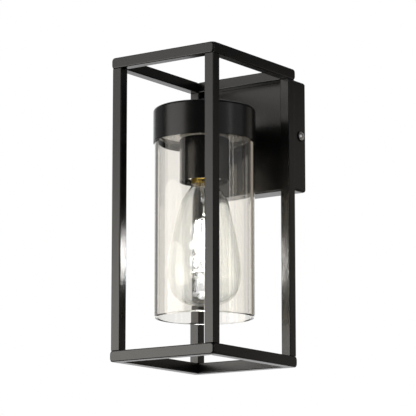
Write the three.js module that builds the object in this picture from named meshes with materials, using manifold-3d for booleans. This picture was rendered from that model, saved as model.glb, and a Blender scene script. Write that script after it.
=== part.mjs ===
// Outdoor wall lantern: an open cage of square steel tube on a shallow wall canopy. Inside the
// cage a drawn cap on a short arm carries a clear glass cylinder, a lampholder in its black
// sleeve, and a pear-shaped filament bulb.
//
// Millimetres. +Z is up, the wall is the plane y = 0, and the lantern stands out along -Y.
// The origin is the centre of the wall bracket's back face.

import * as THREE from 'three';
import { mergeVertices } from 'three/addons/utils/BufferGeometryUtils.js';
import Module from 'manifold-3d';

const wasm = await Module();
wasm.setup();

// ---- Driving dimensions -------------------------------------------------------------------

const GAP = 0.3;                 // clearance between pieces that rest on or pass through others
const SEAM = 0.1;                // half a weld seam between cage tubes

const CAGE_WIDTH = 122.4;
const CAGE_DEPTH = 144;
const CAGE_HEIGHT = 300;
const CAGE_TOP = 65;             // height of the cage's top above the wall bracket's centre
const TUBE = 10.6;               // square tube, over its powder coat
const TUBE_WALL = 1;
const TUBE_RADIUS = 1;
const POST_INSET = 0.8;          // the rings stand this far proud of the posts

const CANOPY_WIDTH = 114;
const CANOPY_HEIGHT = 113;
const CANOPY_DEPTH = 24;         // wall to front face, over the gasket
const CANOPY_SHEET = 1.2;
const CANOPY_EDGE = 2;           // radius of the canopy's front edges
const GASKET_THICK = 1.2;
const GASKET_WIDE = 4;

const BRACKET_THICK = 1.6;
const BRACKET_TALL = 26;
const EAR_REACH = 16;            // how far the bracket's ears stand off the wall
const COVER_SCREW_Y = -9.2;      // cover screws' distance from the wall
const COVER_HEAD_RADIUS = 4.5;
const COVER_HEAD_TALL = 2.2;
const COVER_SCREW_LONG = 12;
const SEAL_RADIUS = 5.4;
const SEAL_THICK = 0.8;
const M3 = 1.5;                  // thread radii
const M4 = 2;
const M10 = 5;

const ARM_RADIUS = 8;
const ARM_Z = 6;                 // height of the arm's axis
const NIPPLE_BORE = 3.8;

const CAP_RADIUS = 50.6;
const CAP_TOP = 18.5;
const CAP_HEIGHT = 34;
const CAP_SHEET = 1;
const CAP_EDGE = 3;

const GLASS_RADIUS = 49.5;
const GLASS_WALL = 3.5;
const GLASS_TOP = -6.2;
const GLASS_BOTTOM = -189.5;
const GLASS_DISC = 4;            // thickness of the glass's closed top
const GLASS_HOLE = 21;
const GLASS_SHOULDER = 6;

const SLEEVE_RADIUS = 24.6;
const SLEEVE_WALL = 1.1;
const SLEEVE_TOP = -11.6;
const SLEEVE_BOTTOM = -54.8;

const HOLDER_RADIUS = 19;
const HOLDER_TOP = -18.2;
const HOLDER_BOTTOM = -50;
const HOLDER_BORE = 14.6;
const SHELL_RADIUS = 14.2;

const BULB_CAP_RADIUS = 13;
const BULB_CAP_BOTTOM = -56.5;
const BULB_CAP_TOP = -34;
const BULB_NECK_RADIUS = 12.2;
const BULB_NECK_TOP = -44;
const BULB_GLASS_WALL = 0.9;
const THREAD_PITCH = 3.63;       // Edison screw, 7 threads to the inch

const CANOPY_FRONT = -CANOPY_DEPTH;
const CAGE_BACK = CANOPY_FRONT - SEAM;
const LAMP_Y = CAGE_BACK - CAGE_DEPTH / 2;
const CAP_BACK = LAMP_Y + CAP_RADIUS;

// ---- Finishes -----------------------------------------------------------------------------

const finish = (color, roughness, metalness, more = {}) => ({ color, roughness, metalness, ...more });
const BLACK_COAT = finish(0x1b1b1a, 0.42, 0.2);
const ZINC = finish(0xb9bcc0, 0.35, 1);
const BRASS = finish(0xc8a24a, 0.28, 1);
const PORCELAIN = finish(0xece8de, 0.25, 0);
const RUBBER = finish(0x161616, 0.85, 0);
const SILICONE = finish(0xd8d8d4, 0.7, 0);
const CLEAR_GLASS = finish(0xf4f6f4, 0.05, 0, { transparent: true, opacity: 0.3 });
const VITRITE = finish(0x0c0c12, 0.2, 0);
const NYLON = finish(0xe6e6e0, 0.5, 0);
const WIRE_LIVE = finish(0x6a3c22, 0.5, 0);
const WIRE_NEUTRAL = finish(0x2f5f9c, 0.5, 0);
const WIRE_EARTH = finish(0x5f9a3a, 0.5, 0);
const FILAMENT = finish(0xffd9a0, 0.6, 0, { emissive: 0xffb860 });

// ---- Shape helpers ------------------------------------------------------------------------

/** Six times the signed volume of an indexed geometry. */
function signedVolume(geometry) {
  const [a, b, c] = [new THREE.Vector3(), new THREE.Vector3(), new THREE.Vector3()];
  const { position } = geometry.attributes;
  let total = 0;
  for (let i = 0; i < geometry.index.count; i += 3) {
    a.fromBufferAttribute(position, geometry.index.getX(i));
    b.fromBufferAttribute(position, geometry.index.getX(i + 1));
    c.fromBufferAttribute(position, geometry.index.getX(i + 2));
    total += a.dot(b.cross(c));
  }
  return total;
}

/** Merge shared vertices, drop collapsed triangles and turn the faces outward. */
function closed(source) {
  const bare = source.clone();
  bare.deleteAttribute('normal');
  bare.deleteAttribute('uv');
  const merged = mergeVertices(bare, 1e-4);
  const kept = [];
  for (let i = 0; i < merged.index.count; i += 3) {
    const [a, b, c] = [0, 1, 2].map((k) => merged.index.getX(i + k));
    if (a !== b && b !== c && c !== a) kept.push(a, b, c);
  }
  merged.setIndex(kept);
  if (signedVolume(merged) < 0) merged.setIndex(kept.reverse());
  return merged;
}

/** A manifold-3d solid of a closed geometry. */
function solid(geometry) {
  const body = closed(geometry);
  return new wasm.Manifold(new wasm.Mesh({
    numProp: 3,
    vertProperties: new Float32Array(body.attributes.position.array),
    triVerts: new Uint32Array(body.index.array),
  }));
}

/** The geometry of a manifold-3d solid. */
function fromSolid(body) {
  const mesh = body.getMesh();
  const geometry = new THREE.BufferGeometry();
  geometry.setAttribute('position', new THREE.BufferAttribute(mesh.vertProperties, 3));
  geometry.setIndex(new THREE.BufferAttribute(mesh.triVerts, 1));
  return geometry;
}

const cut = (body, ...tools) => fromSolid(tools.reduce((left, tool) => left.subtract(solid(tool)), solid(body)));
const join = (body, ...more) => fromSolid(more.reduce((sum, piece) => sum.add(solid(piece)), solid(body)));

/** Turn a profile of [radius, height] points about Z. */
function lathe(profile, segments = 36) {
  const points = profile.map(([r, z]) => new THREE.Vector2(r, z));
  return new THREE.LatheGeometry(points, segments).rotateX(Math.PI / 2);
}

/** A ring or tube about Z. */
function ring(inner, outer, low, high, segments = 24) {
  return lathe([[inner, low], [outer, low], [outer, high], [inner, high], [inner, low]], segments);
}

/** A solid round bar about Z. */
function bar(radius, low, high, segments = 20) {
  return lathe([[0, low], [radius, low], [radius, high], [0, high]], segments);
}

const box = (x, y, z) => new THREE.BoxGeometry(x, y, z);
const alongX = (geometry) => geometry.rotateY(Math.PI / 2);
const alongY = (geometry) => geometry.rotateX(-Math.PI / 2);

/** Points of an arc in a profile, from one angle to another in degrees. */
function arc(x, z, radius, from, to, steps = 5) {
  return Array.from({ length: steps + 1 }, (_, i) => {
    const angle = THREE.MathUtils.degToRad(from + (to - from) * i / steps);
    return [x + radius * Math.cos(angle), z + radius * Math.sin(angle)];
  });
}

/** A closed outline of [x, y] points as a shape with round or other holes. */
function outline(points, holes = []) {
  const shape = new THREE.Shape(points.map(([x, y]) => new THREE.Vector2(x, y)));
  shape.holes = holes;
  return shape;
}

/** Points of a rectangle with round corners, centred on 0, 0. */
function roundRectangle(width, height, radius, steps = 4) {
  const [x, y] = [width / 2 - radius, height / 2 - radius];
  return [[x, y, 0], [-x, y, 90], [-x, -y, 180], [x, -y, 270]]
    .flatMap(([cx, cy, start]) => arc(cx, cy, radius, start, start + 90, steps));
}

/** A slot-shaped hole along X, with round ends. */
function slotPath(x, y, length, width) {
  const reach = (length - width) / 2;
  const ends = [...arc(x + reach, y, width / 2, 90, -90, 8), ...arc(x - reach, y, width / 2, -90, -270, 8)];
  return new THREE.Path(ends.map(([px, py]) => new THREE.Vector2(px, py)));
}

function roundHole(x, y, radius) {
  return slotPath(x, y, 2 * radius, 2 * radius - 1e-3);
}

const extrude = (shape, depth) => new THREE.ExtrudeGeometry(shape, { depth, bevelEnabled: false });

/** A six-sided nut about Z, from 0 to its thickness. */
function nut(bore, acrossFlats, thick) {
  const corners = arc(0, 0, acrossFlats / Math.sqrt(3), 0, 300, 5);
  return extrude(outline(corners, [roundHole(0, 0, bore)]), thick);
}

/** A round tube along a smooth curve through the given points. */
function wireAlong(points, radius, steps) {
  const path = new THREE.CatmullRomCurve3(points.map((p) => new THREE.Vector3(...p)), false, 'centripetal');
  const section = outline(arc(0, 0, radius, 0, 300, 5));
  return new THREE.ExtrudeGeometry(section, { extrudePath: path, steps, bevelEnabled: false });
}

/** Add one named mesh to a group, with its own material. */
function add(group, name, geometry, look, position = [0, 0, 0], rotation = [0, 0, 0]) {
  const mesh = new THREE.Mesh(closed(geometry), new THREE.MeshStandardMaterial(look));
  mesh.name = name;
  mesh.position.set(...position);
  mesh.rotation.set(...rotation);
  group.add(mesh);
  return mesh;
}

// ---- Cage ---------------------------------------------------------------------------------

/** The section of the square tube: its outer skin with round edges, and its bore. */
function tubeSection() {
  const bore = roundRectangle(TUBE - 2 * TUBE_WALL, TUBE - 2 * TUBE_WALL, TUBE_RADIUS / 2, 1);
  const hole = new THREE.Path(bore.map(([x, y]) => new THREE.Vector2(x, y)).reverse());
  return outline(roundRectangle(TUBE, TUBE, TUBE_RADIUS, 2), [hole]);
}

/** A rail along X, mitred at 45 degrees, with its outer face at y = 0 and its body towards +Y. */
function rail(length) {
  const geometry = extrude(tubeSection(), 1).rotateY(Math.PI / 2).translate(-0.5, TUBE / 2, 0);
  const { position } = geometry.attributes;
  for (let i = 0; i < position.count; i += 1) {
    const reach = length / 2 - position.getY(i) - SEAM;
    position.setX(i, Math.sign(position.getX(i)) * reach);
  }
  return geometry;
}

/** Four mitred rails in a level ring. */
function addRing(group, level, z) {
  const sides = [
    ['front', CAGE_WIDTH, [0, -CAGE_DEPTH / 2], 0],
    ['right', CAGE_DEPTH, [CAGE_WIDTH / 2, 0], Math.PI / 2],
    ['back', CAGE_WIDTH, [0, CAGE_DEPTH / 2], Math.PI],
    ['left', CAGE_DEPTH, [-CAGE_WIDTH / 2, 0], -Math.PI / 2],
  ];
  for (const [side, length, [x, y], turn] of sides) {
    add(group, `${level}_rail_${side}`, rail(length), BLACK_COAT, [x, y, z], [0, 0, turn]);
  }
}

const FRAME_SCREW_X = 52.9;      // just inside the posts' bore, clear of the canopy's side
const FRAME_SCREW_Z = 42;

/** Four posts between the rings. The back pair is drilled for the canopy's screws. */
function addPosts(group) {
  const long = CAGE_HEIGHT - 2 * TUBE - 2 * SEAM;
  const middle = CAGE_TOP - CAGE_HEIGHT / 2;
  for (const [side, sx] of [['left', -1], ['right', 1]]) {
    for (const [end, sy] of [['front', -1], ['back', 1]]) {
      const x = sx * (CAGE_WIDTH / 2 - POST_INSET - TUBE / 2);
      const y = sy * (CAGE_DEPTH / 2 - POST_INSET - TUBE / 2);
      let post = extrude(tubeSection(), long).translate(0, 0, -long / 2);
      if (end === 'back') {
        const drills = [-1, 1].map((sz) => alongY(bar(M3 + GAP, 0, TUBE, 16))
          .translate(sx * FRAME_SCREW_X - x, 0, sz * FRAME_SCREW_Z - middle));
        post = cut(post, ...drills);
      }
      add(group, `post_${end}_${side}`, post, BLACK_COAT, [x, y, middle]);
    }
  }
}

function makeCage() {
  const cage = new THREE.Group();
  cage.position.y = LAMP_Y;
  addRing(cage, 'top', CAGE_TOP - TUBE / 2);
  addRing(cage, 'bottom', CAGE_TOP - CAGE_HEIGHT + TUBE / 2);
  addPosts(cage);
  return cage;
}

// ---- Wall canopy and bracket --------------------------------------------------------------

/** The canopy: a pressed steel box with round front edges, open towards the wall. */
function canopyShell() {
  const rim = CANOPY_DEPTH - GASKET_THICK;
  const skin = outline(roundRectangle(CANOPY_WIDTH - 2 * CANOPY_EDGE, CANOPY_HEIGHT - 2 * CANOPY_EDGE, 1));
  const blank = new THREE.ExtrudeGeometry(skin, {
    depth: rim, bevelThickness: CANOPY_EDGE, bevelSize: CANOPY_EDGE, bevelSegments: 4,
  }).rotateX(Math.PI / 2).translate(0, CANOPY_FRONT + CANOPY_EDGE + rim, 0);
  const behindRim = box(2 * CANOPY_WIDTH, 3 * CANOPY_DEPTH, 2 * CANOPY_HEIGHT)
    .translate(0, CANOPY_FRONT + rim + 1.5 * CANOPY_DEPTH, 0);
  const inside = box(CANOPY_WIDTH - 2 * CANOPY_SHEET, 2 * CANOPY_DEPTH, CANOPY_HEIGHT - 2 * CANOPY_SHEET)
    .translate(0, CANOPY_FRONT + CANOPY_SHEET + CANOPY_DEPTH, 0);
  const armHole = alongY(bar(M10 + GAP, -5, 5)).translate(0, CANOPY_FRONT, ARM_Z);
  const frameHoles = [[-1, -1], [1, -1], [1, 1], [-1, 1]].map(([sx, sz]) => alongY(bar(M3 + GAP, -5, 5, 16))
    .translate(sx * FRAME_SCREW_X, CANOPY_FRONT, sz * FRAME_SCREW_Z));
  const coverHoles = alongX(bar(M4 + GAP, -CANOPY_WIDTH, CANOPY_WIDTH, 16)).translate(0, COVER_SCREW_Y, 0);
  const drain = bar(2.5, -CANOPY_HEIGHT, -CANOPY_HEIGHT / 2 + 5, 16).translate(0, -CANOPY_DEPTH / 2, 0);
  return cut(blank, behindRim, inside, armHole, ...frameHoles, coverHoles, drain);
}

/** The foam gasket between the canopy's rim and the wall. */
function wallGasket() {
  const [w, h] = [CANOPY_WIDTH - 1, CANOPY_HEIGHT - 1];
  const inner = roundRectangle(w - 2 * GASKET_WIDE, h - 2 * GASKET_WIDE, 1, 2);
  const hole = new THREE.Path(inner.map(([x, y]) => new THREE.Vector2(x, y)).reverse());
  return extrude(outline(roundRectangle(w, h, 2, 2), [hole]), GASKET_THICK - GAP)
    .rotateX(Math.PI / 2);
}

const EAR_X = 51.5;              // outer face of the bracket's ears
const EARTH_SCREW_X = 14;
const TERMINAL_SCREW_X = -20;

/** The wall bracket: a flat bar with two wall slots, and an ear bent forward at each end. */
function wallBracket() {
  const holes = [
    slotPath(-38, 0, 18, 5), slotPath(38, 0, 18, 5),
    roundHole(EARTH_SCREW_X, 0, M4 + GAP), roundHole(TERMINAL_SCREW_X, 0, M3 + GAP),
  ];
  const strip = outline(roundRectangle(2 * EAR_X, BRACKET_TALL, 1, 2), holes);
  const flat = extrude(strip, BRACKET_THICK).rotateX(Math.PI / 2);
  const ears = [-1, 1].map((side) => cut(
    box(BRACKET_THICK, EAR_REACH, BRACKET_TALL - 8)
      .translate(side * (EAR_X - BRACKET_THICK / 2), -EAR_REACH / 2, 0),
    alongX(bar(M4 + 0.15, -5, 5, 16)).translate(side * EAR_X, COVER_SCREW_Y, 0),
  ));
  return join(flat, ...ears);
}

/** A pan-head or dome-head screw along +Z: head above 0, shank below, with a cross recess. */
function screw(headRadius, headTall, shankRadius, shankLong, segments = 20) {
  const sphere = (headRadius ** 2 + headTall ** 2) / (2 * headTall);
  const rise = THREE.MathUtils.radToDeg(Math.asin((sphere - headTall) / sphere));
  const dome = arc(0, headTall - sphere, sphere, rise, 90, 3).slice(1, -1);
  const body = lathe([
    [0, -shankLong], [shankRadius * 0.7, -shankLong], [shankRadius, -shankLong + 0.8], [shankRadius, 0],
    [headRadius, 0], [headRadius, 0.3], ...dome, [0, headTall],
  ], segments);
  const blades = [0, Math.PI / 2].map((turn) => box(headRadius * 1.1, headRadius * 0.22, headTall)
    .rotateZ(turn).translate(0, 0, headTall));
  return cut(body, ...blades);
}

/** Cover screw and seal on each side of the canopy, their heads outward. */
function addCoverScrews(group) {
  for (const [side, sign] of [['left', -1], ['right', 1]]) {
    const face = sign * (CANOPY_WIDTH / 2 + 0.05);
    const turn = [0, sign * Math.PI / 2, 0];
    add(group, `cover_seal_${side}`, ring(M4 + GAP, SEAL_RADIUS, 0, SEAL_THICK, 24), RUBBER,
      [face, COVER_SCREW_Y, 0], turn);
    add(group, `cover_screw_${side}`, screw(COVER_HEAD_RADIUS, COVER_HEAD_TALL, M4, COVER_SCREW_LONG), ZINC,
      [face + sign * (SEAL_THICK + 0.05), COVER_SCREW_Y, 0], turn);
  }
}

/** Screws through the canopy's front into the back posts. */
function addFrameScrews(group) {
  const y = CANOPY_FRONT + CANOPY_SHEET + 0.1;
  for (const [side, sx] of [['left', -1], ['right', 1]]) {
    for (const [level, sz] of [['lower', -1], ['upper', 1]]) {
      add(group, `frame_screw_${level}_${side}`, screw(2.6, 1.6, M3, 6, 12), ZINC,
        [sx * FRAME_SCREW_X, y, sz * FRAME_SCREW_Z], [-Math.PI / 2, 0, 0]);
    }
  }
}

const TERMINAL = { x: TERMINAL_SCREW_X, wide: 18.2, deep: 10, tall: 18 };
const CLAMP_Z = 5;

/** The terminal block: two cross bores for its brass clamps and a screw hole between them. */
function terminalBlock() {
  const bores = [-1, 1].map((side) => alongX(bar(3, -20, 20, 20)).translate(0, 0, side * CLAMP_Z));
  const fixing = alongY(bar(M3 + GAP, -10, 10, 16));
  return cut(box(TERMINAL.wide, TERMINAL.deep, TERMINAL.tall), ...bores, fixing);
}

function addTerminals(group) {
  const y = -BRACKET_THICK - 0.3 - TERMINAL.deep / 2;
  add(group, 'terminal_block', terminalBlock(), NYLON, [TERMINAL.x, y, 0]);
  for (const [name, side] of [['live', 1], ['neutral', -1]]) {
    const clamp = ring(1.6, 3 - GAP, -8, 8, 20);
    add(group, `terminal_clamp_${name}`, clamp, BRASS, [TERMINAL.x, y, side * CLAMP_Z],
      [0, Math.PI / 2, 0]);
  }
  add(group, 'terminal_screw', screw(2.6, 1.6, M3, 11.6, 12), ZINC,
    [TERMINAL.x, y - TERMINAL.deep / 2 - 0.1, 0], [Math.PI / 2, 0, 0]);
  add(group, 'earth_screw', screw(3.8, 2.2, M4, 4.4, 14), BRASS,
    [EARTH_SCREW_X, -BRACKET_THICK - 2.8, 0], [Math.PI / 2, 0, 0]);
}

function makeCanopy() {
  const canopy = new THREE.Group();
  add(canopy, 'wall_canopy', canopyShell(), BLACK_COAT);
  add(canopy, 'wall_gasket', wallGasket(), RUBBER);
  add(canopy, 'wall_bracket', wallBracket(), ZINC);
  addCoverScrews(canopy);
  addFrameScrews(canopy);
  addTerminals(canopy);
  return canopy;
}

// ---- Arm ----------------------------------------------------------------------------------

const ARM_NUT = { flats: 14, thick: 3 };
const WASHER = { radius: 9, thick: 1 };

/** The arm tube, its far end coped to the cap's round wall. */
function armTube() {
  const near = CANOPY_FRONT - 0.1;
  const long = near - CAP_BACK + CAP_RADIUS;
  const tube = alongY(ring(ARM_RADIUS - 1.2, ARM_RADIUS, -long, 0, 40)).translate(0, near, 0);
  const cap = bar(CAP_RADIUS + GAP, -50, 50, 96).translate(0, LAMP_Y, 0);
  return cut(tube, cap);
}

/** A washer curved to the inside of the cap's wall. */
function curvedWasher() {
  const wall = CAP_RADIUS - CAP_SHEET;
  const blank = alongY(ring(M10 + GAP, WASHER.radius - 1, -6, 6)).translate(0, wall - 1, 0);
  const shell = cut(bar(wall - GAP, -20, 20, 96), bar(wall - GAP - 1.2, -21, 21, 96));
  return fromSolid(solid(blank).intersect(solid(shell))).translate(0, LAMP_Y, 0);
}

function makeArm() {
  const arm = new THREE.Group();
  arm.position.z = ARM_Z;
  const inside = CANOPY_FRONT + CANOPY_SHEET + 0.1;
  const washerFront = CAP_BACK - CAP_SHEET - 4;
  add(arm, 'arm_tube', armTube(), BLACK_COAT);
  add(arm, 'arm_nipple', alongY(ring(NIPPLE_BORE, M10, washerFront - 4, inside + 7, 28)), ZINC);
  add(arm, 'arm_washer_canopy', alongY(ring(M10 + GAP, WASHER.radius, 0, WASHER.thick, 28)), ZINC,
    [0, inside, 0]);
  add(arm, 'arm_nut_canopy', nut(M10 + GAP, ARM_NUT.flats, ARM_NUT.thick).rotateX(-Math.PI / 2), ZINC,
    [0, inside + WASHER.thick + 0.1, 0]);
  add(arm, 'arm_washer_cap', curvedWasher(), ZINC);
  add(arm, 'arm_nut_cap', nut(M10 + GAP, ARM_NUT.flats, ARM_NUT.thick).rotateX(Math.PI / 2), ZINC,
    [0, washerFront + 0.7, 0]);
  return arm;
}

// ---- Cap, shade and sleeve: modelled about the lamp's own axis -----------------------------

const STUD_X = 36;
const BRIDGE = { half: 26, wide: 16, thick: 1.2, floor: -3.7 };
const NIPPLE = { low: -16.4, high: 6 };
const LOCKNUT = { flats: 14, thick: 2.6, lower: -15.5 };
const DISC = { radius: 29, low: -5, high: -3.8 };
const GASKET_UPPER = { inner: GLASS_HOLE + 1, outer: 28, low: -6.1, high: -5.1 };
const GASKET_LOWER = { inner: 17, outer: 23.5, low: -11.5, high: -10.3 };

/** The drawn cap: round top edge, open below, drilled for the arm, two welded studs inside. */
function lampCap() {
  const [low, wall, r] = [CAP_TOP - CAP_HEIGHT, CAP_RADIUS - CAP_SHEET, CAP_EDGE];
  const cup = lathe([
    [wall, low], [CAP_RADIUS, low],
    ...arc(CAP_RADIUS - r, CAP_TOP - r, r, 0, 90, 4),
    [0, CAP_TOP], [0, CAP_TOP - CAP_SHEET],
    ...arc(CAP_RADIUS - r, CAP_TOP - r, r - CAP_SHEET, 90, 0, 2),
    [wall, low],
  ], 64);
  const hole = alongY(bar(M10 + GAP, CAP_RADIUS - 10, CAP_RADIUS + 10)).translate(0, 0, ARM_Z);
  const studs = [-1, 1].map((side) => bar(M4, CAP_TOP - 9, CAP_TOP - CAP_SHEET / 2, 16)
    .translate(side * STUD_X, 0, 0));
  return fromSolid(solid(cut(cup, hole)).add(solid(studs[0])).add(solid(studs[1])));
}

/** The strap across the cap that carries the lamp nipple; its feet hang on the cap's studs. */
function bridge() {
  const { half, wide, thick, floor } = BRIDGE;
  const [top, foot] = [CAP_TOP - CAP_SHEET - 0.2, STUD_X + 5];
  const side = [[half, floor], [half, top - thick], [foot, top - thick], [foot, top]];
  const inner = [[half - thick, top], [half - thick, floor + thick]];
  const right = [...side, ...inner];
  const left = right.map(([x, z]) => [-x, z]).reverse();
  const strap = extrude(outline([...right, ...left]), wide).rotateX(Math.PI / 2).translate(0, wide / 2, 0);
  const holes = [-1, 1].map((s) => bar(M4 + GAP, top - 5, top + 5, 16).translate(s * STUD_X, 0, 0));
  return cut(strap, bar(M10 + GAP, floor - 5, floor + 5), ...holes);
}

/** The glass cylinder: closed top with a round hole, round shoulder, fire-polished lower rim. */
function glassShade() {
  const [R, w, s] = [GLASS_RADIUS, GLASS_WALL, GLASS_SHOULDER];
  const disc = GLASS_TOP - GLASS_DISC;
  return lathe([
    ...arc(R - w / 2, GLASS_BOTTOM + w / 2, w / 2, -180, 0, 4),
    ...arc(R - s, GLASS_TOP - s, s, 0, 90, 4),
    [GLASS_HOLE, GLASS_TOP], [GLASS_HOLE, disc],
    [R - s, disc], [R - w, GLASS_TOP - s],
    [R - w, GLASS_BOTTOM + w / 2],
  ], 64);
}

/** The black sleeve round the lampholder, open below. */
function lampSleeve() {
  const [R, w, top] = [SLEEVE_RADIUS, SLEEVE_WALL, SLEEVE_TOP];
  return lathe([
    [R - w, SLEEVE_BOTTOM], [R, SLEEVE_BOTTOM],
    ...arc(R - 2, top - 2, 2, 0, 90, 3),
    [M10 + GAP, top], [M10 + GAP, top - w],
    ...arc(R - 2, top - 2, 2 - w, 90, 0, 2),
    [R - w, SLEEVE_BOTTOM],
  ], 48);
}

function makeShade() {
  const lamp = new THREE.Group();
  const footNut = CAP_TOP - CAP_SHEET - 0.2 - BRIDGE.thick - 3.1;
  add(lamp, 'lamp_cap', lampCap(), BLACK_COAT);
  add(lamp, 'cap_bridge', bridge(), ZINC);
  for (const [side, sign] of [['left', -1], ['right', 1]]) {
    add(lamp, `bridge_nut_${side}`, nut(M4 + GAP, 7, 3), ZINC, [sign * STUD_X, 0, footNut]);
  }
  add(lamp, 'lamp_nipple', ring(NIPPLE_BORE, M10, NIPPLE.low, NIPPLE.high, 28), ZINC);
  add(lamp, 'locknut_upper', nut(M10 + GAP, LOCKNUT.flats, LOCKNUT.thick), ZINC,
    [0, 0, BRIDGE.floor + BRIDGE.thick + 0.1]);
  add(lamp, 'shade_backing_disc', ring(M10 + GAP, DISC.radius, DISC.low, DISC.high), ZINC);
  for (const [level, seal] of [['upper', GASKET_UPPER], ['lower', GASKET_LOWER]]) {
    add(lamp, `shade_gasket_${level}`, ring(seal.inner, seal.outer, seal.low, seal.high), SILICONE);
  }
  add(lamp, 'glass_shade', glassShade(), CLEAR_GLASS);
  add(lamp, 'lamp_sleeve', lampSleeve(), BLACK_COAT);
  add(lamp, 'locknut_lower', nut(M10 + GAP, LOCKNUT.flats, LOCKNUT.thick), ZINC, [0, 0, LOCKNUT.lower]);
  return lamp;
}

// ---- Lampholder ---------------------------------------------------------------------------

const WEB = { low: -26.2, high: -22.2, tabX: 7, hole: 2.4, pocket: 10 };
const SHELL = { low: -48, sheet: 0.6, hole: 5.6 };

/** The porcelain body: a bore for the screw shell below a web, a wiring pocket above it. */
function holderBody() {
  const body = lathe([
    [HOLDER_BORE, HOLDER_BOTTOM], [HOLDER_RADIUS - 1, HOLDER_BOTTOM], [HOLDER_RADIUS, HOLDER_BOTTOM + 1],
    [HOLDER_RADIUS, HOLDER_TOP - 2], [HOLDER_RADIUS - 2, HOLDER_TOP], [WEB.pocket, HOLDER_TOP],
    [WEB.pocket, WEB.high], [WEB.hole, WEB.high], [WEB.hole, WEB.low], [HOLDER_BORE, WEB.low],
    [HOLDER_BORE, HOLDER_BOTTOM],
  ], 32);
  return cut(body, box(3, 3, 20).translate(WEB.tabX, 0, (WEB.low + WEB.high) / 2));
}

/** The brass screw shell, hung from an inward flange, with its solder tab through the web. */
function screwShell() {
  const [flange, bore] = [WEB.low - 0.2, SHELL_RADIUS - SHELL.sheet];
  const shell = lathe([
    [bore, SHELL.low], [SHELL_RADIUS, SHELL.low], [SHELL_RADIUS, flange], [SHELL.hole, flange],
    [SHELL.hole, flange - SHELL.sheet], [bore, flange - SHELL.sheet], [bore, SHELL.low],
  ], 32);
  const tab = box(1.2, 2.2, 6.6).translate(WEB.tabX, 0, flange + 3);
  return join(shell, tab);
}

/** The sprung centre contact and its rivet. */
function centreContact() {
  return lathe([
    [0, -29.2], [2.5, -29.2], [4.2, -28.6], [4.6, -27.8], [4.6, -26.6],
    [2, -26.6], [2, -20.8], [0, -20.8],
  ], 24);
}

function makeHolder() {
  const holder = new THREE.Group();
  add(holder, 'holder_bush', ring(M10 + GAP, 13, -17.9, -15.8, 32), ZINC);
  add(holder, 'lampholder_body', holderBody(), PORCELAIN);
  add(holder, 'screw_shell', screwShell(), BRASS);
  add(holder, 'centre_contact', centreContact(), BRASS);
  return holder;
}

// ---- Bulb ---------------------------------------------------------------------------------

/** Outer outline of the bulb's glass, from its open neck down to its round end. */
function bulbOutline() {
  const belly = [
    [BULB_NECK_RADIUS, -58], [15.6, -62.5], [20, -68.4], [23.3, -75], [26.8, -87], [30.8, -105],
    [34.4, -124], [36.2, -140], [35.9, -152], [32.2, -164.5], [23.4, -173], [12, -176.9], [0, -177.8],
  ].map(([r, z]) => new THREE.Vector2(r, z));
  return new THREE.SplineCurve(belly).getPoints(22).map((p) => [Math.max(p.x, 0), p.y]);
}

/** The clear envelope, open at its neck inside the screw cap. */
function bulbEnvelope() {
  const outer = [[BULB_NECK_RADIUS, BULB_NECK_TOP], ...bulbOutline()];
  const inner = outer.map(([r, z], i) => {
    const [a, b] = [outer[Math.max(i - 1, 0)], outer[Math.min(i + 1, outer.length - 1)]];
    const [dr, dz] = [b[0] - a[0], b[1] - a[1]];
    const long = Math.hypot(dr, dz);
    return [r + BULB_GLASS_WALL * dz / long, z - BULB_GLASS_WALL * dr / long];
  });
  inner[inner.length - 1] = [0, outer.at(-1)[1] + BULB_GLASS_WALL];
  inner[0] = [BULB_NECK_RADIUS - BULB_GLASS_WALL, BULB_NECK_TOP];
  return lathe([...inner.reverse(), ...outer], 36);
}

/** The brass screw cap round the neck: skirt, rolled thread and shoulder. */
function bulbCap() {
  const [crest, root, inside] = [BULB_CAP_RADIUS, BULB_CAP_RADIUS - 0.9, BULB_CAP_RADIUS - 0.5];
  const thread = [0, 1, 2, 3].flatMap((turn) => {
    const z = -51.8 + turn * THREAD_PITCH;
    return [[root, z], [crest, z + THREAD_PITCH / 2]];
  });
  return lathe([
    [inside, BULB_CAP_BOTTOM], [crest, BULB_CAP_BOTTOM], [crest, -53.4], ...thread,
    [11.6, BULB_CAP_TOP], [11, BULB_CAP_TOP], [11, -38], [inside - 1.2, -43], [inside, -43.6],
    [inside, BULB_CAP_BOTTOM],
  ], 32);
}

/** The pressed glass stem that carries the filaments, standing in the neck. */
function bulbStem() {
  return lathe([
    [0, -45], [2.2, -45], [4, -47], [4, -62], [2.4, -70], [1.5, -78], [1.5, -86], [2.6, -88], [0, -89.5],
  ], 20);
}

const CAGE_FILAMENT = { count: 6, top: -92, bottom: -146, topRadius: 6, bottomRadius: 12.5, thick: 0.9 };

/** The glowing filaments: slanted rods between an upper and a lower carrier ring. */
function filamentCage() {
  const { count, top, bottom, topRadius, bottomRadius, thick } = CAGE_FILAMENT;
  const rods = Array.from({ length: count }, (_, i) => {
    const angle = 2 * Math.PI * (i + 0.5) / count;
    const point = (radius, z) => [radius * Math.cos(angle), radius * Math.sin(angle), z];
    return wireAlong([point(topRadius, top), point(bottomRadius, bottom)], thick, 1);
  });
  const upper = ring(topRadius - 0.7, topRadius + 0.7, top - 0.7, top + 0.7, 24);
  const lower = ring(bottomRadius - 0.7, bottomRadius + 0.7, bottom - 0.7, bottom + 0.7, 24);
  return join(upper, lower, ...rods);
}

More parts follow.
